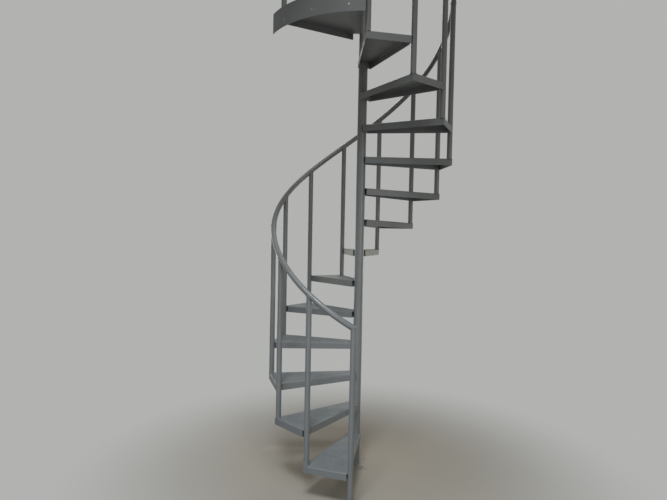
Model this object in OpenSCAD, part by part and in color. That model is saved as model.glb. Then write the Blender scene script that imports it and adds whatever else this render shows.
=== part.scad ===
// Spiral stair of painted steel. Folded sheet treads are welded round a centre pole,
// each baluster ties one tread's back corner to the next tread's front corner, and a
// helical tube handrail runs on their tops from the newel post to the landing.
// Millimetres, +Z up. The origin is under the base plate, on the pole's axis. The stair
// climbs clockwise seen from above, and the newel post stands on the -Y axis.

/* [Stair] */
// Height from one tread to the next
rise = 210; // [190:1:235]
// Turn from one tread to the next, in degrees
step_angle = 27.35; // [25:0.05:28]
// Distance of the balusters' axes from the pole's axis
baluster_circle = 584; // [560:1:700]

/* [Centre pole] */
// Outside diameter of the pole
pole_d = 60.3; // [48.3:0.1:76.1]
// Wall of the pole
pole_wall = 3.6; // [2:0.1:5]
// Height of the pole above the landing guard's rail
pole_rise = 30; // [20:1:80]
// Thickness of the flat cap on the pole
cap_t = 4; // [3:1:8]
// Overhang of the cap round the pole
cap_rim = 3; // [1:1:8]

/* [Base plate] */
// Side of the square base plate
base_side = 160; // [135:1:240]
// Thickness of the base plate
base_t = 6; // [5:1:15]
// Spacing of the anchor holes
base_hole_spacing = 110; // [102:1:120]
// Diameter of the anchor holes
base_hole_d = 12; // [9:1:14]
// Side of the newel post's square foot
foot_side = 72; // [68:1:100]
// Thickness of the newel post's foot
foot_t = 5; // [3:1:8]
// Spacing of the two screw holes in the foot
foot_hole_spacing = 54; // [50:1:58]
// Diameter of the screw holes in the foot
foot_hole_d = 7; // [4:0.5:8]

/* [Treads] */
// Thickness of the folded sheet
sheet_t = 3; // [2:0.5:5]
// Inside radius of the folds
bend_r = 2.5; // [1:0.5:4]
// Height of the folded edges, with the sheet
flange_h = 43; // [35:1:60]
// Width of a tread at its inner end
tread_inner_w = 86; // [74:1:120]
// Distance of a tread's inner end from the pole's axis
tread_inner_x = 22; // [15:1:23]
// Gap between the pole and the plate that closes a tread's inner end
inner_plate_gap = 1.5; // [1:0.5:5]
// Drop of a tread from its inner end to its balusters
tread_fall = 12; // [0:1:25]
// Overhang of a tread's outer edge beyond the line between its balusters' axes
outer_overhang = 16; // [12:1:40]
// Overhang of a tread's back edge beyond the axis of the baluster that stands on it
back_overhang = 16; // [12:1:40]
// Length of the recess in the flanges at the front outer corner, behind the baluster
recess_w = 35; // [20:1:60]
// Depth of that recess beyond the outer radius of the fold
recess_clear = 0.5; // [0.5:0.5:10]

/* [Balusters] */
// Outside diameter of the balusters and the newel post
baluster_d = 33.7; // [26.9:0.1:38]
// Wall of the baluster tubes
baluster_wall = 2.6; // [1.5:0.1:4]
// Height of the handrail's centre line over the tread, at a baluster
rail_h = 1016; // [900:1:1150]

/* [Handrail] */
// Outside diameter of the handrail
rail_d = 33.7; // [32:0.1:42.4]
// Height that the handrail's foot is bent up above its helix, at the newel post
rail_ease = 38; // [0:1:60]
// Length of that bend, counted in treads
rail_ease_steps = 1.5; // [1:0.1:2.5]
// Length of the handrail beyond the last baluster
rail_overrun = 30; // [20:1:80]
// Thickness of the plugs that close the rails' ends
plug_t = 4; // [3:1:8]
// Gap left for the weld between the balusters and the handrail
weld_gap = 0.3; // [0.1:0.1:0.6]

/* [Landing] */
// Angle that the landing fills, in degrees
landing_angle = 60; // [45:1:90]
// Radius of the landing's outer edge
landing_r = 640; // [630:1:760]
// Height of the landing's outer flange, which is bolted to the floor's edge
landing_flange_h = 120; // [90:1:200]
// Diameter of the fixing holes in the outer flange
fixing_hole_d = 13; // [9:1:16]
// Height of the landing guard's rail above the landing
guard_h = 900; // [850:1:1100]
// Distance of the guard's posts from the landing's free edge
guard_inset = 22; // [18:1:40]

/* [Hidden] */
tread_count = 13;
guard_post_count = 3;
fixing_hole_count = 3;
rail_sides = 20;
rail_rings_per_step = 7;

newel_angle = -90;
landing_z = (tread_count + 1) * rise;
guard_z = landing_z + guard_h;
pole_top = guard_z + pole_rise;
chord_x = baluster_circle * cos(step_angle / 2);
chord_y = baluster_circle * sin(step_angle / 2);
// The front edge passes the baluster of the tread below at a weld's gap
front_reach = [chord_x - tread_inner_x, chord_y - tread_inner_w / 2];
front_angle = atan2(front_reach.y, front_reach.x) - asin((baluster_d / 2 + weld_gap) / norm(front_reach));
back_angle = -atan2(chord_y + back_overhang - tread_inner_w / 2, front_reach.x + outer_overhang);
fall_angle = asin(tread_fall / front_reach.x);
recess_depth = sheet_t + bend_r + recess_clear;
step_arc = baluster_circle * step_angle * PI / 180;
last_step = tread_count + rail_overrun / step_arc;
margin = 1;
// A fold's arc is this much larger than its radius, and so meets the flat faces at a slight
// crease and not on a tangent line
crease = 0.02;

function two_digits(k) = k < 10 ? str("0", k) : str(k);
function tread_name(k) = str("tread_", two_digits(k));
function baluster_name(k) = str("baluster_", two_digits(k));
function post_angle(k) = newel_angle - k * step_angle;

// The handrail's centre line: a helix whose foot is bent up a little at the newel post
function ease(s) = max(0, 1 - s / rail_ease_steps);
function rail_slope(s) = atan((rise - 2 * rail_ease / rail_ease_steps * ease(s)) / step_arc);
function rail_point(s) = [
    baluster_circle * cos(post_angle(s)),
    baluster_circle * sin(post_angle(s)),
    s * rise + rail_h + rail_ease * pow(ease(s), 2)
];

paint = [0.45, 0.48, 0.50];
dark_paint = [0.34, 0.36, 0.37];

$fn = 48;

module base_plate() {
    color(paint)
    difference() {
        translate([-base_side / 2, -base_side / 2, 0]) cube([base_side, base_side, base_t]);
        for (x = [-1, 1], y = [-1, 1])
            translate([x * base_hole_spacing / 2, y * base_hole_spacing / 2, -margin])
                cylinder(d = base_hole_d, h = base_t + 2 * margin);
    }
}

module centre_pole() {
    color(dark_paint)
    translate([0, 0, base_t])
    difference() {
        cylinder(d = pole_d, h = pole_top - base_t);
        translate([0, 0, -margin])
            cylinder(d = pole_d - 2 * pole_wall, h = pole_top - base_t + 2 * margin);
    }
}

module pole_cap() {
    color(dark_paint)
    translate([0, 0, pole_top]) cylinder(d = pole_d + 2 * cap_rim, h = cap_t);
}

// What a fold of radius r takes off a square edge that runs along +X from the origin, with
// the sheet at -Y below it
module fold_cut(length, r) {
    difference() {
        translate([-r, -r, -r]) cube([length + 2 * r, r + margin, r + margin]);
        translate([-2 * r, -r, -r]) rotate([0, 90, 0]) cylinder(r = r + crease, h = length + 4 * r);
    }
}

module fold_cut_between(p, q, r) {
    translate([p.x, p.y, 0]) rotate(atan2(q.y - p.y, q.x - p.x)) fold_cut(norm(q - p), r);
}

// Corners of a tread's plan, moved in by inset from the folded edges. X runs between its
// two balusters, the front faces +Y, and the inner end has no fold.
function front_edge(x, inset) =
    tread_inner_w / 2 + (x - tread_inner_x) * tan(front_angle) - inset / cos(front_angle);
function back_edge(x, inset) =
    -tread_inner_w / 2 + (x - tread_inner_x) * tan(back_angle) + inset / cos(back_angle);
function tread_corners(inset) =
    let (x_in = tread_inner_x - (inset > 0 ? margin : 0), x_out = chord_x + outer_overhang - inset)
    [
        [x_in, front_edge(x_in, inset)], [x_out, front_edge(x_out, inset)],
        [x_out, back_edge(x_out, inset)], [x_in, back_edge(x_in, inset)]
    ];

// Block under a tread's plan with its three folded edges rounded, its top at Z = 0
module tread_block(inset, depth, r) {
    corners = tread_corners(inset);
    difference() {
        translate([0, 0, -depth]) linear_extrude(depth) polygon(corners);
        for (i = [0 : 2]) fold_cut_between(corners[i], corners[i + 1], r);
    }
}

// Box round the recess in the front outer corner, with a wall on its two inner sides
module corner_box(wall) {
    x_out = chord_x + outer_overhang;
    translate([x_out, front_edge(x_out, 0), 0])
    rotate(front_angle)
    translate([-recess_w - wall, -recess_depth - wall, -flange_h - 2 * margin])
        cube([2 * recess_w, 2 * recess_depth + baluster_d, flange_h + 3 * margin]);
}

// Places what is drawn in a tread's own frame. The tread falls outwards by a small angle,
// and its top is at its exact height on the line between its balusters.
module on_tread(k) {
    translate([0, 0, k * rise])
    rotate(post_angle(k - 0.5))
    translate([chord_x, 0, 0])
    rotate([0, fall_angle, 0])
    translate([-chord_x, 0, 0])
        children();
}

// Plate that closes the tray just before the pole, its ends inside the flanges
module inner_plate() {
    translate([pole_d / 2 + inner_plate_gap, -tread_inner_w, -flange_h - 2 * margin])
        cube([sheet_t, 2 * tread_inner_w, flange_h + 2 * margin]);
}

// A tray folded down on three sides and closed by a plate at the pole. At the front outer
// corner its sheet is flat and its flanges step in behind the baluster that passes there.
module tread(k) {
    color(paint)
    difference() {
        on_tread(k) {
            difference() {
                tread_block(0, flange_h, sheet_t + bend_r);
                difference() {
                    translate([0, 0, -sheet_t]) tread_block(sheet_t, flange_h, bend_r);
                    corner_box(sheet_t);
                    inner_plate();
                }
                corner_box(0);
            }
            intersection() {
                translate([0, 0, -sheet_t]) linear_extrude(sheet_t) polygon(tread_corners(0));
                corner_box(0);
            }
        }
        translate([0, 0, k * rise - 2 * flange_h]) cylinder(d = pole_d, h = 3 * flange_h);
    }
}

module tube(d, wall, h) {
    difference() {
        cylinder(d = d, h = h);
        translate([0, 0, -margin]) cylinder(d = d - 2 * wall, h = h + 2 * margin);
    }
}

// Solid bar along the handrail's tangent at baluster k, to shape what is welded to it
module rail_bar(k, d) {
    translate(rail_point(k))
    rotate([0, 0, post_angle(k) - 90])
    rotate([0, 90 - rail_slope(k), 0])
    translate([0, 0, -2 * d]) cylinder(d = d, h = 4 * d);
}

// Stands on the back outer corner of tread k, cut to the tread's fall below and to the
// handrail above
module baluster(k) {
    foot_play = baluster_d * tan(fall_angle);
    color(paint)
    difference() {
        translate([rail_point(k).x, rail_point(k).y, k * rise - foot_play])
            tube(baluster_d, baluster_wall, rail_point(k).z - k * rise + foot_play);
        rail_bar(k, rail_d + 2 * weld_gap);
        on_tread(k)
        translate([chord_x - baluster_d, -chord_y - baluster_d, -2 * baluster_d])
            cube(2 * baluster_d);
    }
}

module newel_foot() {
    color(paint)
    translate([rail_point(0).x, rail_point(0).y, 0])
    difference() {
        translate([-foot_side / 2, -foot_side / 2, 0]) cube([foot_side, foot_side, foot_t]);
        for (x = [-1, 1])
            translate([x * foot_hole_spacing / 2, 0, -margin])
                cylinder(d = foot_hole_d, h = foot_t + 2 * margin);
    }
}

// The newel's top is cut on the mitre with the handrail
module newel_post() {
    color(paint)
    difference() {
        translate([rail_point(0).x, rail_point(0).y, foot_t])
            tube(baluster_d, baluster_wall, rail_point(0).z + rail_d - foot_t);
        translate(rail_point(0))
        rotate([0, 0, post_angle(0) - 90])
        rotate([0, (90 - rail_slope(0)) / 2, 0])
        translate([-2 * rail_d, -2 * rail_d, -weld_gap])
            cube(4 * rail_d);
    }
}

// One ring of the handrail: its centre at step s, its points across the tangent, each
// slid along the tangent by lean times its height to end the tube on a mitre
function tangent(s) = [
    sin(post_angle(s)) * cos(rail_slope(s)), -cos(post_angle(s)) * cos(rail_slope(s)), sin(rail_slope(s))
];
function outward(s) = [cos(post_angle(s)), sin(post_angle(s)), 0];
function rail_ring(s, lean) = [
    for (i = [0 : rail_sides - 1])
        let (a = 360 * i / rail_sides, up = cross(tangent(s), outward(s)) * -1)
            rail_point(s) + rail_d / 2 * (cos(a) * outward(s) + sin(a) * up + sin(a) * lean * tangent(s))
];

module handrail() {
    rings = rail_rings_per_step * tread_count + 1;
    mitre = -tan((90 - rail_slope(0)) / 2);
    points = [
        for (r = [0 : rings]) each rail_ring(
            r < rings ? r / rail_rings_per_step : last_step, r == 0 ? mitre : 0
        )
    ];
    sides = [
        for (r = [0 : rings - 1], i = [0 : rail_sides - 1])
            let (a = r * rail_sides + i, b = r * rail_sides + (i + 1) % rail_sides)
                [a, a + rail_sides, b + rail_sides, b]
    ];
    start_face = [for (i = [0 : rail_sides - 1]) i];
    end_face = [for (i = [rail_sides - 1 : -1 : 0]) rings * rail_sides + i];
    color(paint) polyhedron(points, concat(sides, [start_face, end_face]), convexity = 10);
}

module handrail_plug() {
    color(paint)
    translate(rail_point(last_step))
    rotate([0, 0, post_angle(last_step) - 90])
    rotate([0, 90 - rail_slope(last_step), 0])
        cylinder(d = rail_d, h = plug_t);
}

// Plan of the landing. X runs towards its front baluster, and the free edge is clockwise.
module landing_plan(inset) {
    free_shift = guard_inset + baluster_d / 2 - inset;
    far = 2 * landing_r;
    intersection() {
        circle(r = landing_r - inset, $fn = 96);
        translate([0, -baluster_d / 2 - inset - far]) square([far, far]);
        rotate(-landing_angle) translate([-far / 2, -free_shift]) square([1.5 * far, far]);
    }
}

// Block under the landing's plan with its two straight edges rounded, its top at Z = 0
module landing_block(inset, depth, r) {
    free_y = -guard_inset - baluster_d / 2 + inset;
    difference() {
        translate([0, 0, -depth]) linear_extrude(depth) landing_plan(inset);
        translate([0, -baluster_d / 2 - inset, 0]) fold_cut(landing_r, r);
        rotate(-landing_angle) translate([landing_r, free_y, 0]) rotate(180) fold_cut(1.5 * landing_r, r);
    }
}

module landing() {
    color(paint)
    translate([0, 0, landing_z])
    rotate(post_angle(tread_count))
    difference() {
        union() {
            landing_block(0, flange_h, sheet_t + bend_r);
            translate([0, 0, -landing_flange_h]) linear_extrude(landing_flange_h - flange_h)
                difference() {
                    landing_plan(0);
                    circle(r = landing_r - sheet_t, $fn = 96);
                }
        }
        translate([0, 0, -sheet_t]) landing_block(sheet_t, flange_h, bend_r);
        translate([0, 0, -landing_flange_h - margin])
            cylinder(d = pole_d, h = landing_flange_h + 2 * margin);
        for (i = [0 : fixing_hole_count - 1])
            rotate(-landing_angle * (i + 0.5) / fixing_hole_count)
            translate([landing_r - sheet_t - margin, 0, -(landing_flange_h + flange_h) / 2])
            rotate([0, 90, 0])
                cylinder(d = fixing_hole_d, h = sheet_t + 2 * margin);
    }
}

module along_free_edge() {
    rotate(post_angle(tread_count) - landing_angle) children();
}

module guard_rail() {
    color(paint)
    along_free_edge()
    difference() {
        translate([0, 0, guard_z]) rotate([0, 90, 0])
            cylinder(d = rail_d, h = baluster_circle + rail_overrun);
        cylinder(d = pole_d, h = pole_top + margin);
    }
}

module guard_posts() {
    color(paint)
    along_free_edge()
    difference() {
        for (i = [1 : guard_post_count])
            translate([pole_d / 2 + (baluster_circle - pole_d / 2) * i / guard_post_count, 0, landing_z])
                tube(baluster_d, baluster_wall, guard_h);
        translate([0, 0, guard_z]) rotate([0, 90, 0])
            cylinder(d = rail_d + 2 * weld_gap, h = landing_r + rail_overrun);
    }
}

base_plate();
centre_pole();
pole_cap();
newel_foot();
newel_post();
for (k = [1 : tread_count]) {
    tread(k);
    baluster(k);
}
handrail();
handrail_plug();
landing();
guard_rail();
guard_posts();
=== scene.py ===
from math import acos, asin, atan, atan2, ceil, cos, pi, radians, sin, sqrt

import bmesh
import bpy
from mathutils import Matrix, Vector, noise


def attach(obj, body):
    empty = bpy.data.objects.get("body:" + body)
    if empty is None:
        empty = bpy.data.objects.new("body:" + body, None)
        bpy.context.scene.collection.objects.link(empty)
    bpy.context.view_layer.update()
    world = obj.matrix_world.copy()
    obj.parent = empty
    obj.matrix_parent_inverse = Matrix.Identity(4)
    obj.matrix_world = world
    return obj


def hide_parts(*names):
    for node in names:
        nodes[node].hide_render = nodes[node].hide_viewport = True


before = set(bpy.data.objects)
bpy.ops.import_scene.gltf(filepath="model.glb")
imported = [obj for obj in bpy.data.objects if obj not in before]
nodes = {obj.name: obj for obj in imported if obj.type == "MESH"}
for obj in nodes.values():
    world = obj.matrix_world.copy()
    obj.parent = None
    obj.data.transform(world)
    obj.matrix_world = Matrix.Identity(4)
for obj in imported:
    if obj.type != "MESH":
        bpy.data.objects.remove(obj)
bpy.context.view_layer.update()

# Base plate: a square of 6 mm steel plate under the pole, flame-cut, painted with the rest and
# lying under cement dust. Four zinc-plated M10 anchors hold it down, with washers and nuts.
base_t = 0.006
base_hole_spacing = 0.110
pole_r = 0.0603 / 2
anchor_d = 0.010
anchor_nut_across = 0.017
anchor_nut_h = 0.008
anchor_washer_d = 0.021
anchor_washer_t = 0.002
anchor_stud_h = 0.011
nut_turn_by_x = 17
nut_turn_by_y = 9
hexagon = 6
stud_sides = 20
washer_sides = 32
washer_edge = 0.0003
nut_edge = 0.0008
stud_edge = 0.001

enamel_cool = "#6B7072"
enamel_pale = "#727678"
enamel_mottle = "#64696B"
# Pale dust, tinted blue-grey as painted light: the sky's cool light on the tops.
sky_tinted_dust = "#828B8F"
cement_dust = "#97938A"
scuffed_dust = "#5A5F61"
# Near black: painted shade for crevices and recesses.
painted_shade_tone = "#232526"
cloud_mm = 180
mottle_mm = 9
dust_mm = 60
scuff_mm = 26
sheen_mm = 35
# How far the painted shade reaches from a crevice, in metres.
shade_reach = 0.045
zinc_pale = "#A9ABA8"
zinc_dull = "#85888A"
bloom_mm = 4


def linear(hex_colour):
    """The linear colour, with alpha, of an sRGB hex value such as #7A8186."""
    channels = [int(hex_colour[i:i + 2], 16) / 255 for i in (1, 3, 5)]
    return [c / 12.92 if c <= 0.04045 else ((c + 0.055) / 1.055) ** 2.4 for c in channels] + [1.0]


def add(material, kind, settings=None, links=None):
    """Adds a node to a material or the world.

    Settings fill the node's inputs or its fields, and links feed its inputs.
    """
    node = material.node_tree.nodes.new(kind)
    for key, value in (settings or {}).items():
        if isinstance(key, int) or key in node.inputs:
            node.inputs[key].default_value = value
        else:
            setattr(node, key, value)
    for key, socket in (links or {}).items():
        material.node_tree.links.new(socket, node.inputs[key])
    return node


def new_material(name):
    """A material with an empty node tree and its Object coordinates."""
    material = bpy.data.materials.new(name)
    material.use_nodes = True
    material.node_tree.nodes.clear()
    return material, add(material, "ShaderNodeTexCoord").outputs["Object"]


def per_metre(size_mm):
    """A noise texture's scale for features of this size in millimetres."""
    return 1000 / size_mm


def noise_at(material, place, size_mm, detail=2.0, roughness=0.5):
    """Noise of this feature size, as a value around a half."""
    settings = {"Scale": per_metre(size_mm), "Detail": detail, "Roughness": roughness}
    return add(material, "ShaderNodeTexNoise", settings, {"Vector": place}).outputs[0]


def spread(material, value, low, high, to_low=0.0, to_high=1.0):
    """Stretches a value's range from low..high to to_low..to_high, clamped."""
    settings = {"From Min": low, "From Max": high, "To Min": to_low, "To Max": to_high}
    return add(material, "ShaderNodeMapRange", settings, {"Value": value}).outputs[0]


def blend_colours(material, factor, first, second):
    """Mixes two colours, each a hex value or a socket."""
    settings = {"data_type": "RGBA"}
    links = {0: factor}
    for index, colour in ((6, first), (7, second)):
        if isinstance(colour, str):
            settings[index] = linear(colour)
        else:
            links[index] = colour
    return add(material, "ShaderNodeMix", settings, links).outputs[2]


def times(material, first, second):
    """The product of two sockets."""
    settings = {"operation": "MULTIPLY"}
    return add(material, "ShaderNodeMath", settings, {0: first, 1: second}).outputs[0]


def painted_steel(
    name, peel_mm, peel_depth, gloss, dust=None, dust_and_sky_colour=sky_tinted_dust, dusty_from=(0.8, 0.98)
):
    """Satin grey alkyd enamel, sprayed on mild steel in the workshop.

    The eye gets a cool mid grey with broad, faint shifts in tone, a slight orange peel in
    the highlights, painted shade in crevices and recesses, where ambient occlusion darkens
    the colour towards near black, and on what lies flat a film of pale dust with darker
    scuffs, its cool blue-grey partly painted light that stands for the sky's light on the
    tops. The dust is given as its least and most cover, and starts and is full where the
    surface's normal points up by dusty_from.
    """
    material, place = new_material(name)
    cloud = spread(material, noise_at(material, place, cloud_mm, 3.0), 0.35, 0.65)
    colour = blend_colours(material, cloud, enamel_cool, enamel_pale)
    mottle = spread(material, noise_at(material, place, mottle_mm, 3.0), 0.55, 0.75, 0.0, 0.35)
    colour = blend_colours(material, mottle, colour, enamel_mottle)
    level = gloss
    if dust:
        normal = add(material, "ShaderNodeNewGeometry").outputs["Normal"]
        up = add(material, "ShaderNodeSeparateXYZ", links={0: normal}).outputs[2]
        flat = spread(material, up, *dusty_from)
        # Partly painted light: the film of pale dust on what faces up also stands for the sky's cool
        # light on the tops, so they come out lighter and bluer.
        dust_and_sky_veil = spread(material, noise_at(material, place, dust_mm, 5.0, 0.65), 0.42, 0.68, *dust)
        dust_and_sky_veil = times(material, dust_and_sky_veil, flat)
        colour = blend_colours(material, dust_and_sky_veil, colour, dust_and_sky_colour)
        patches = noise_at(material, place, scuff_mm, 4.0, 0.7)
        scuff = spread(material, patches, 0.62, 0.72, 0.0, 0.45)
        scuff = times(material, scuff, flat)
        colour = blend_colours(material, scuff, colour, scuffed_dust)
        level = gloss + 0.06
    # Painted shade: the colour goes towards near black where ambient occlusion finds surfaces close
    # round it, in crevices and recesses where shade falls.
    crevice_occlusion = add(material, "ShaderNodeAmbientOcclusion", {"samples": 8, "Distance": shade_reach})
    painted_shade = spread(material, crevice_occlusion.outputs["AO"], 0.22, 0.5, 0.92, 0.0)
    colour = blend_colours(material, painted_shade, colour, painted_shade_tone)
    sheen = noise_at(material, place, sheen_mm, 3.0)
    rough = spread(material, sheen, 0.3, 0.7, level - 0.05, level + 0.07)
    peel = noise_at(material, place, peel_mm, 1.0)
    relief = {"Strength": 0.5, "Distance": peel_depth}
    bump = add(material, "ShaderNodeBump", relief, {"Height": peel})
    shader = add(
        material, "ShaderNodeBsdfPrincipled", {"IOR": 1.5},
        {"Base Color": colour, "Roughness": rough, "Normal": bump.outputs[0]},
    )
    add(material, "ShaderNodeOutputMaterial", links={"Surface": shader.outputs[0]})
    return material


sheet_enamel = painted_steel("satin_enamel_on_sheet", 3.5, 0.00025, 0.42, (0.15, 0.6))
tube_enamel = painted_steel("satin_enamel_on_tube", 3.0, 0.0002, 0.36)
weld_enamel = painted_steel("satin_enamel_on_welds", 2.5, 0.0008, 0.4)
floor_dusted_enamel = painted_steel(
    "floor_dusted_enamel", 3.5, 0.00025, 0.5, (0.8, 1.0), cement_dust, (-0.6, -0.1)
)


def zinc_plated_steel():
    """Bright zinc electroplate on steel, dulled: a pale grey metal with a milky bloom."""
    material, place = new_material("zinc_plated_steel")
    bloom = spread(material, noise_at(material, place, bloom_mm, 3.0), 0.4, 0.7)
    colour = blend_colours(material, bloom, zinc_pale, zinc_dull)
    rough = spread(material, bloom, 0.0, 1.0, 0.32, 0.55)
    shader = add(
        material, "ShaderNodeBsdfPrincipled", {"Metallic": 1.0},
        {"Base Color": colour, "Roughness": rough},
    )
    add(material, "ShaderNodeOutputMaterial", links={"Surface": shader.outputs[0]})
    return material


zinc = zinc_plated_steel()


def finish_piece(name, bm, material):
    """Makes a bmesh into a piece that rides on the stair and takes this finish."""
    bmesh.ops.remove_doubles(bm, verts=bm.verts, dist=1e-6)
    bmesh.ops.recalc_face_normals(bm, faces=bm.faces)
    mesh = bpy.data.meshes.new(name)
    bm.to_mesh(mesh)
    bm.free()
    mesh.materials.append(material)
    piece = bpy.data.objects.new(name, mesh)
    bpy.context.scene.collection.objects.link(piece)
    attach(piece, "root")
    return piece


def smooth(piece, sharp_over=35):
    """Shades a piece smooth, apart from edges sharper than this many degrees."""
    piece.data.shade_smooth()
    piece.data.set_sharp_from_angle(angle=radians(sharp_over))


def paint_nodes(material, *names):
    """Gives CAD nodes a painted finish."""
    for name in names:
        nodes[name].data.materials.clear()
        nodes[name].data.materials.append(material)


def add_disc(bm, place, sides, diameter, thickness, edge):
    """Adds a prism that stands on place, along its Z, with its top edge bevelled."""
    made = bmesh.ops.create_circle(bm, cap_ends=True, segments=sides, radius=diameter / 2)
    base = made["verts"][0].link_faces[0]
    raised = bmesh.ops.extrude_face_region(bm, geom=[base])["geom"]
    top = [v for v in raised if isinstance(v, bmesh.types.BMVert)]
    bmesh.ops.translate(bm, verts=top, vec=(0, 0, thickness))
    rim = [e for e in raised if isinstance(e, bmesh.types.BMEdge)]
    whole = set(made["verts"]) | set(top)
    cut = bmesh.ops.bevel(
        bm, geom=rim, offset=edge, segments=2, profile=0.5, affect="EDGES", material=-1
    )
    whole = {v for v in whole | set(cut["verts"]) if v.is_valid}
    bmesh.ops.transform(bm, matrix=place, verts=list(whole))


def add_nut(bm, place, across, height, washer_d, washer_t, stud_d, stud_h):
    """Adds a washer, a nut or bolt head on it, and the end of its stud."""
    add_disc(bm, place, washer_sides, washer_d, washer_t, washer_edge)
    above = place @ Matrix.Translation((0, 0, washer_t))
    add_disc(bm, above, hexagon, across / cos(pi / hexagon), height, nut_edge)
    if stud_h > 0:
        add_disc(bm, above, stud_sides, stud_d, stud_h, stud_edge)


# Each nut came to rest at an angle of its own.
paint_nodes(floor_dusted_enamel, "base_plate")
anchors = bmesh.new()
for x in (-1, 1):
    for y in (-1, 1):
        corner = Vector((x * base_hole_spacing / 2, y * base_hole_spacing / 2, base_t))
        nut_turn = radians(nut_turn_by_x * x + nut_turn_by_y * y)
        turned = Matrix.Translation(corner) @ Matrix.Rotation(nut_turn, 4, "Z")
        add_nut(
            anchors, turned, anchor_nut_across, anchor_nut_h,
            anchor_washer_d, anchor_washer_t, anchor_d, anchor_stud_h,
        )
smooth(finish_piece("base_anchors", anchors, zinc))

# Centre pole: one length of 60.3 mm steel pipe from the base plate to above the landing's
# guard, with a flat cap on it. Fillet welds join it to the plate and to the cap all round.
tread_count = 13
rise = 0.210
guard_h = 0.900
pole_over_guard = 0.030
landing_z = (tread_count + 1) * rise
pole_top = landing_z + guard_h + pole_over_guard
bead = 0.0026
base_bead = 0.0035
cap_bead = 0.0018
bead_sides = 10
bead_step = 0.0025
fewest_steps = 8
ripple = 0.0005
ripple_size = 0.004
weld_sharp_over = 60


def add_bead(bm, place, radius, turn=2 * pi, start=0.0, size=bead):
    """Adds a weld bead along an arc round place's Z axis, in its XY plane."""
    section = Matrix.Translation((radius, 0, 0)) @ Matrix.Rotation(pi / 2, 4, "X")
    aimed = place @ Matrix.Rotation(start, 4, "Z")
    made = bmesh.ops.create_circle(bm, segments=bead_sides, radius=size, matrix=aimed @ section)
    edges = list({e for v in made["verts"] for e in v.link_edges})
    axis = aimed.to_3x3() @ Vector((0, 0, 1))
    closed = turn == 2 * pi
    steps = max(fewest_steps, ceil(turn * radius / bead_step))
    swept = bmesh.ops.spin(
        bm, geom=made["verts"] + edges, cent=aimed.translation, axis=axis,
        angle=turn, steps=steps, use_merge=closed,
    )
    if not closed:
        ends = [e for e in swept["geom_last"] if isinstance(e, bmesh.types.BMEdge)]
        bmesh.ops.holes_fill(bm, edges=ends + edges, sides=0)


def finish_welds(name, bm):
    """Makes beads into a painted piece, with the small lumps that a hand-held torch leaves."""
    bm.normal_update()
    for v in bm.verts:
        v.co += v.normal * ripple * noise.noise(v.co / ripple_size)
    smooth(finish_piece(name, bm, weld_enamel), weld_sharp_over)


paint_nodes(tube_enamel, "centre_pole", "pole_cap")
pole_welds = bmesh.new()
add_bead(pole_welds, Matrix.Translation((0, 0, base_t)), pole_r, size=base_bead)
add_bead(pole_welds, Matrix.Translation((0, 0, pole_top)), pole_r, size=cap_bead)
finish_welds("pole_welds", pole_welds)

# Newel post: 33.7 mm steel tube, welded to a small foot of 5 mm plate, which two
# zinc-plated screws with pan heads hold down. The foot lies under cement dust too.
tube_r = 0.0337 / 2
circle = 0.584
foot_t = 0.005
foot_hole_spacing = 0.054
screw_head_d = 0.0125
screw_head_h = 0.0022
screw_head_edge = 0.0009
screw_sides = 24
newel_place = Matrix.Translation((0, -circle, 0))

paint_nodes(tube_enamel, "newel_post")
paint_nodes(floor_dusted_enamel, "newel_foot")
foot_screws = bmesh.new()
for x in (-1, 1):
    seat = newel_place @ Matrix.Translation((x * foot_hole_spacing / 2, 0, foot_t))
    add_disc(foot_screws, seat, screw_sides, screw_head_d, screw_head_h, screw_head_edge)
smooth(finish_piece("foot_screws", foot_screws, zinc))
newel_welds = bmesh.new()
add_bead(newel_welds, newel_place @ Matrix.Translation((0, 0, foot_t)), tube_r)
finish_welds("newel_welds", newel_welds)

# Treads: thirteen trays of 3 mm sheet, each cut to a wedge, folded down on three sides and
# closed by a plate at the pole. The notched inner end is welded to the pole above and below
# the sheet, and so is the front corner to the post that stands beside it.
step = radians(27.35)
chord_x = circle * cos(step / 2)
chord_y = circle * sin(step / 2)
tread_inner_x = 0.022
tread_inner_w = 0.086
tread_fall = 0.012
sheet_t = 0.003
weld_gap = 0.0003
reach_x = chord_x - tread_inner_x
reach_y = chord_y - tread_inner_w / 2
reach = sqrt(reach_x ** 2 + reach_y ** 2)
front_angle = atan2(reach_y, reach_x) - asin((tube_r + weld_gap) / reach)
notch_half = acos(tread_inner_x / pole_r)
corner_half = radians(38)


def post_angle(s):
    """Direction of the post at step s, seen from the pole."""
    return -pi / 2 - s * step


def tread_place(k):
    """A tread's own frame: X out between its two posts, Y to its front, Z up from its top."""
    return (
        Matrix.Translation((0, 0, k * rise))
        @ Matrix.Rotation(post_angle(k - 0.5), 4, "Z")
        @ Matrix.Translation((chord_x, 0, 0))
        @ Matrix.Rotation(asin(tread_fall / reach_x), 4, "Y")
        @ Matrix.Translation((-chord_x, 0, 0))
    )


paint_nodes(sheet_enamel, *[f"tread_{k:02d}" for k in range(1, tread_count + 1)])
tread_welds = bmesh.new()
corner_start = front_angle - pi / 2 - corner_half
for k in range(1, tread_count + 1):
    for depth in (0, -sheet_t):
        level = tread_place(k) @ Matrix.Translation((0, 0, depth))
        add_bead(tread_welds, level, pole_r, 2 * notch_half, -notch_half)
        at_post = level @ Matrix.Translation((chord_x, chord_y, 0))
        add_bead(tread_welds, at_post, tube_r, 2 * corner_half, corner_start)
finish_welds("tread_welds", tread_welds)

# Balusters: thirteen lengths of 33.7 mm tube. Each stands on a tread's back corner, welded
# all round, and its top is cut to a saddle and welded up under the handrail.
rail_r = tube_r
rail_h = 1.016
rail_ease = 0.038
ease_steps = 1.5
arc = circle * step
weld_points = 48


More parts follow.
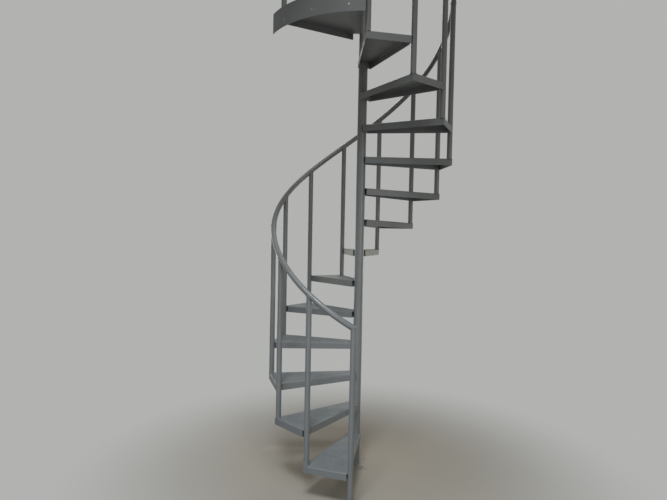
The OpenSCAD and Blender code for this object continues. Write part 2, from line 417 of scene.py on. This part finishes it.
def ease(s):
    """What is left of the bend in the handrail's foot at step s, from 1 at the newel to 0."""
    return max(0.0, 1 - s / ease_steps)


def rail_slope(s):
    """The angle at which the handrail climbs at step s."""
    return atan((rise - 2 * rail_ease / ease_steps * ease(s)) / arc)


def rail_point(s):
    """The handrail's centre line at step s: a helix whose foot is bent up at the newel."""
    a = post_angle(s)
    height = s * rise + rail_h + rail_ease * ease(s) ** 2
    return Vector((circle * cos(a), circle * sin(a), height))


def sweep_bead(bm, points, size=bead):
    """Adds a weld bead along a closed line of points."""
    curve = bpy.data.curves.new("bead_line", "CURVE")
    curve.dimensions = "3D"
    curve.bevel_depth = size
    curve.bevel_resolution = 2
    line = curve.splines.new("POLY")
    line.points.add(len(points) - 1)
    for target, point in zip(line.points, points):
        target.co = (*point, 1)
    line.use_cyclic_u = True
    holder = bpy.data.objects.new("bead_line", curve)
    mesh = bpy.data.meshes.new_from_object(holder)
    bm.from_mesh(mesh)
    bpy.data.objects.remove(holder)
    bpy.data.curves.remove(curve)
    bpy.data.meshes.remove(mesh)


def tube_outline(shift=0.0):
    """Points round a tube, seen along it, the first of them this part of a point further on."""
    turns = [2 * pi * (i + shift) / weld_points for i in range(weld_points)]
    return [(tube_r * cos(a), tube_r * sin(a)) for a in turns]


def saddle(place, slope):
    """Where an upright tube meets a rail of the same size that climbs along place's Y."""
    line = []
    for x, y in tube_outline(0.5):
        z = (y * sin(slope) - sqrt(rail_r ** 2 - x ** 2)) / cos(slope)
        line.append(place @ Vector((x, y, z)))
    return line


paint_nodes(tube_enamel, *[f"baluster_{k:02d}" for k in range(1, tread_count + 1)])
baluster_welds = bmesh.new()
for k in range(1, tread_count + 1):
    add_bead(baluster_welds, tread_place(k) @ Matrix.Translation((chord_x, -chord_y, 0)), tube_r)
    climb = Matrix.Translation(rail_point(k)) @ Matrix.Rotation(post_angle(k) - pi, 4, "Z")
    sweep_bead(baluster_welds, saddle(climb, rail_slope(k)))
finish_welds("baluster_welds", baluster_welds)

# Handrail: 33.7 mm tube rolled to a helix over the balusters. Its foot is drawn up a little
# and mitred to the newel post, the joint ground and painted, and its top end is plugged.
# The helix starts a little before the newel, and the mitre's plane cuts that off.
rail_sides = 40
rings_per_step = 14
rail_overrun = 0.030
ground_bead = 0.0014
first_step = -0.15
last_step = tread_count + rail_overrun / arc
rail_turn = (last_step - first_step) * step
ring_count = ceil((last_step - first_step) * rings_per_step)
ring_rise = rise * (last_step - first_step) / ring_count
helix_slope = atan(rise / arc)
eased_below = rail_h + 2 * rise

rail = bmesh.new()
start_turn = post_angle(first_step)
start_z = first_step * rise + rail_h
start_point = Vector((circle * cos(start_turn), circle * sin(start_turn), start_z))
across = (
    Matrix.Translation(start_point)
    @ Matrix.Rotation(start_turn, 4, "Z")
    @ Matrix.Rotation(pi / 2 - helix_slope, 4, "X")
)
bmesh.ops.create_circle(rail, segments=rail_sides, radius=rail_r, matrix=across)
bmesh.ops.spin(
    rail, geom=rail.verts[:] + rail.edges[:], cent=(0, 0, 0), axis=(0, 0, 1),
    dvec=(0, 0, ring_rise), angle=-rail_turn, steps=ring_count,
)
for v in rail.verts:
    if v.co.z < eased_below:
        passed = (-pi / 2 - atan2(v.co.y, v.co.x) + pi) % (2 * pi) - pi
        v.co.z += rail_ease * ease(passed / step) ** 2
foot_slope = rail_slope(0)
foot_way = Vector((-cos(foot_slope), 0, sin(foot_slope)))
mitre = (foot_way + Vector((0, 0, 1))).normalized()
bmesh.ops.bisect_plane(
    rail, geom=rail.verts[:] + rail.edges[:] + rail.faces[:],
    plane_co=rail_point(0), plane_no=mitre, clear_inner=True,
)
bmesh.ops.holes_fill(rail, edges=rail.edges[:], sides=0)
handrail = finish_piece("handrail_tube", rail, tube_enamel)
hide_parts("handrail")
smooth(handrail)
paint_nodes(tube_enamel, "handrail_plug")

rail_welds = bmesh.new()
joint = []
for x, y in tube_outline():
    joint.append(rail_point(0) + Vector((x, y, -(mitre.x * x + mitre.y * y) / mitre.z)))
sweep_bead(rail_welds, joint, ground_bead)
finish_welds("handrail_welds", rail_welds)

# Landing: a wedge of 3 mm sheet, a sixth of a turn wide, folded down on its two straight
# sides, with a deep curved flange for three M12 anchors, whose heads lie inside it. It is
# welded to the pole and to the last baluster, above and below the sheet.
landing_r = 0.640
landing_flange_h = 0.120
flange_h = 0.043
landing_angle = radians(60)
fixing_count = 3
bolt_across = 0.019
bolt_head_h = 0.0075
bolt_washer_d = 0.024
bolt_washer_t = 0.0025
bolt_d = 0.012
shank_edge = 0.0004
landing_turn = (
    Matrix.Translation((0, 0, landing_z)) @ Matrix.Rotation(post_angle(tread_count), 4, "Z")
)
bolt_drop = (landing_flange_h + flange_h) / 2
pole_weld_turn = pi / 2 - asin(tube_r / pole_r)

paint_nodes(sheet_enamel, "landing")
landing_bolts = bmesh.new()
for i in range(fixing_count):
    spoke = Matrix.Rotation(-landing_angle * (i + 0.5) / fixing_count, 4, "Z")
    seat = landing_turn @ spoke @ Matrix.Translation((landing_r - sheet_t, 0, -bolt_drop))
    inward = seat @ Matrix.Rotation(-pi / 2, 4, "Y")
    add_nut(
        landing_bolts, inward, bolt_across, bolt_head_h,
        bolt_washer_d, bolt_washer_t, bolt_d, 0,
    )
    outward = seat @ Matrix.Rotation(pi / 2, 4, "Y")
    add_disc(landing_bolts, outward, stud_sides, bolt_d, sheet_t, shank_edge)
smooth(finish_piece("landing_bolts", landing_bolts, zinc))
landing_welds = bmesh.new()
for depth in (0, -sheet_t):
    level = landing_turn @ Matrix.Translation((0, 0, depth))
    add_bead(landing_welds, level, pole_r, pole_weld_turn, -pi / 2)
    at_post = level @ Matrix.Translation((circle, 0, 0))
    add_bead(landing_welds, at_post, tube_r, 2 * corner_half, -pi / 2 - corner_half)
finish_welds("landing_welds", landing_welds)

# Landing guard: three upright tubes along the landing's free edge, welded to it and to a
# level top rail, which is welded to the side of the pole.
guard_post_count = 3
guard_turn = landing_turn @ Matrix.Rotation(-landing_angle, 4, "Z")

paint_nodes(tube_enamel, "guard_rail", "guard_posts")
guard_welds = bmesh.new()
for i in range(1, guard_post_count + 1):
    out = pole_r + (circle - pole_r) * i / guard_post_count
    foot = guard_turn @ Matrix.Translation((out, 0, 0))
    add_bead(guard_welds, foot, tube_r)
    top = foot @ Matrix.Translation((0, 0, guard_h)) @ Matrix.Rotation(-pi / 2, 4, "Z")
    sweep_bead(guard_welds, saddle(top, 0.0))
ring = []
for y, z in tube_outline():
    ring.append(guard_turn @ Vector((sqrt(pole_r ** 2 - y ** 2), y, guard_h + z)))
sweep_bead(guard_welds, ring)
finish_welds("guard_welds", guard_welds)

# Studio: a round pale floor that pales further out into the tone of the plain backdrop. The
# backdrop is the air all round, as the eye and gloss see it, and it lights nothing else.
floor_r = 3.0
floor_sides = 96
floor_fade_from = 0.3
floor_fade_to = 2.0
floor_tone = "#A19D94"
backdrop_tone = "#B2B3B1"
air_tone = "#EAE5D8"
air_strength = 0.2


def seen_directly(material):
    """1 for what the eye sees, itself or mirrored in gloss, and 0 for what light strikes."""
    ray = add(material, "ShaderNodeLightPath").outputs
    either = {"operation": "ADD", "use_clamp": True}
    rays = {0: ray["Is Camera Ray"], 1: ray["Is Glossy Ray"]}
    return add(material, "ShaderNodeMath", either, rays).outputs[0]


def floor_paper():
    """Matt studio paper, clear from below.

    It takes shadows near the stair, and further out it glows like the backdrop.
    """
    material, place = new_material("studio_paper_floor")
    paper = add(material, "ShaderNodeBsdfDiffuse", {"Color": linear(floor_tone)})
    glow = add(material, "ShaderNodeEmission", {"Color": linear(backdrop_tone), "Strength": 1.0})
    distance = add(material, "ShaderNodeVectorMath", {"operation": "LENGTH"}, {0: place})
    away = add(
        material, "ShaderNodeMapRange",
        {"interpolation_type": "SMOOTHSTEP", "From Min": floor_fade_from, "From Max": floor_fade_to},
        {"Value": distance.outputs["Value"]},
    )
    fade = times(material, away.outputs[0], seen_directly(material))
    tones = {0: fade, 1: paper.outputs[0], 2: glow.outputs[0]}
    floor = add(material, "ShaderNodeMixShader", links=tones)
    below = add(material, "ShaderNodeNewGeometry").outputs["Backfacing"]
    clear = add(material, "ShaderNodeBsdfTransparent").outputs[0]
    sheet = add(material, "ShaderNodeMixShader", links={0: below, 1: floor.outputs[0], 2: clear})
    add(material, "ShaderNodeOutputMaterial", links={"Surface": sheet.outputs[0]})
    return material


floor_mesh = bpy.data.meshes.new("studio_floor")
disc = bmesh.new()
bmesh.ops.create_circle(disc, cap_ends=True, segments=floor_sides, radius=floor_r)
disc.to_mesh(floor_mesh)
disc.free()
floor_mesh.materials.append(floor_paper())
studio_floor = bpy.data.objects.new("studio_floor", floor_mesh)
bpy.context.scene.collection.objects.link(studio_floor)

world = bpy.data.worlds.new("studio_air")
world.use_nodes = True
world.node_tree.nodes.clear()
backdrop = add(world, "ShaderNodeBackground", {"Color": linear(backdrop_tone), "Strength": 1.0})
air = add(world, "ShaderNodeBackground", {"Color": linear(air_tone), "Strength": air_strength})
around = add(
    world, "ShaderNodeMixShader",
    links={0: seen_directly(world), 1: air.outputs[0], 2: backdrop.outputs[0]},
)
add(world, "ShaderNodeOutputWorld", links={"Surface": around.outputs[0]})
world.cycles.sampling_method = "NONE"
bpy.context.scene.world = world


def soft_lamp(name, place, target, size, power, beam, colour):
    """A square softbox with a grid that keeps its light within beam degrees.

    Its place, target and size are in metres, and its power is in watts.
    """
    light = bpy.data.lights.new(name, "AREA")
    light.shape = "SQUARE"
    light.size = size
    light.energy = power
    light.spread = radians(beam)
    light.color = linear(colour)[:3]
    lamp = bpy.data.objects.new(name, light)
    lamp.location = place
    lamp.rotation_euler = (Vector(target) - Vector(place)).to_track_quat("-Z", "Y").to_euler()
    bpy.context.scene.collection.objects.link(lamp)


soft_lamp("top", (-0.4, -2.8, 4.6), (0, -0.2, -0.3), 1.1, 9.5, 46, "#F5F9FF")
soft_lamp("key", (-2.4, -3.4, 2.0), (0, -0.2, 0.1), 1.6, 3, 74, "#F1F7FF")
soft_lamp("fill", (2.6, -3.4, 1.6), (0, 0, 1.3), 2.0, 7.5, 70, "#FFFAF2")
soft_lamp("low", (-0.9, -3.2, 0.5), (0, -0.3, 0.3), 1.2, 2, 60, "#F1F7FF")
soft_lamp("landing", (0.3, -1.6, 6.0), (-0.15, -0.35, 3.0), 0.6, 2, 26, "#FFFAF2")
soft_lamp("back high", (-0.3, 3.2, 4.6), (0, 0, 1.8), 1.6, 11, 80, "#FFF5E6")
soft_lamp("back left", (-3.0, 3.0, 1.2), (0, 0, 1.9), 1.6, 9, 100, "#FFF5E6")
soft_lamp("back right", (3.0, 3.0, 1.2), (0, 0, 1.9), 1.6, 9, 100, "#FFF5E6")

bpy.context.scene.view_settings.view_transform = "Standard"

# Camera: a phone's wide lens at eye level, in front of the newel post and a little right.
camera_place = (0.1412, -3.4820, 1.6093)
camera_yaw = radians(5.227)
camera_pitch = radians(-2.146)
camera_roll = radians(1.109)
lens = bpy.data.cameras.new("camera")
lens.sensor_width = 36.0
lens.lens = 27.497
camera = bpy.data.objects.new("camera", lens)
camera.matrix_world = (
    Matrix.Translation(camera_place)
    @ Matrix.Rotation(camera_yaw, 4, "Z")
    @ Matrix.Rotation(pi / 2 + camera_pitch, 4, "X")
    @ Matrix.Rotation(camera_roll, 4, "Z")
)
bpy.context.scene.collection.objects.link(camera)
bpy.context.scene.camera = camera
